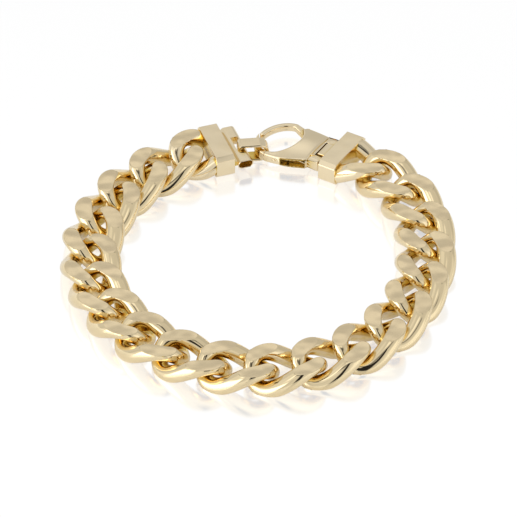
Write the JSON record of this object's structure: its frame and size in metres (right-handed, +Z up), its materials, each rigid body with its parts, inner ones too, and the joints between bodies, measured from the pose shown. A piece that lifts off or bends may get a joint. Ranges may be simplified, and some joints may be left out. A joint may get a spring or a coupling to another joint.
{
  "type": "cuban link bracelet",
  "caption": "Closed curb-link chain bracelet of polished yellow gold, with boxed end caps, a slotted barrel, a catch ring and a sprung lobster clasp.",
  "frame": {"origin": "middle of the closed bracelet's box, on the surface that it lies on", "axes": "+Z up from the surface, +Y from the wrist hollow towards the clasp, +X to the side of the clasp's strap as seen with the clasp at the back"},
  "size_m": [0.0776, 0.0846, 0.005],
  "materials": {
    "links": "polished yellow gold",
    "fittings": "polished yellow gold"
  },
  "bodies": {
    "bracelet": {"link_01": "links", "link_02": "links", "link_03": "links", "link_04": "links", "link_05": "links", "link_06": "links", "link_07": "links", "link_08": "links", "link_09": "links", "link_10": "links", "link_11": "links", "link_12": "links", "link_13": "links", "link_14": "links", "link_15": "links", "link_16": "links", "link_17": "links", "link_18": "links", "link_19": "links", "left_end_cap": "fittings", "right_end_cap": "fittings", "catch_ring": "fittings", "clasp_body": "fittings", "lever_pin": "fittings"},
    "lever": {"clasp_lever": "fittings"}
  },
  "joints": [
    {"name": "lever_hinge", "type": "hinge", "parent": "bracelet", "child": "lever", "pos_m": [0.0101, 0.03815, 0.00185], "axis": [0, 0, 1], "range_deg": [0, 10], "stiffness_Nm_per_rad": 0.02, "springref_deg": -28.65}
  ]
}
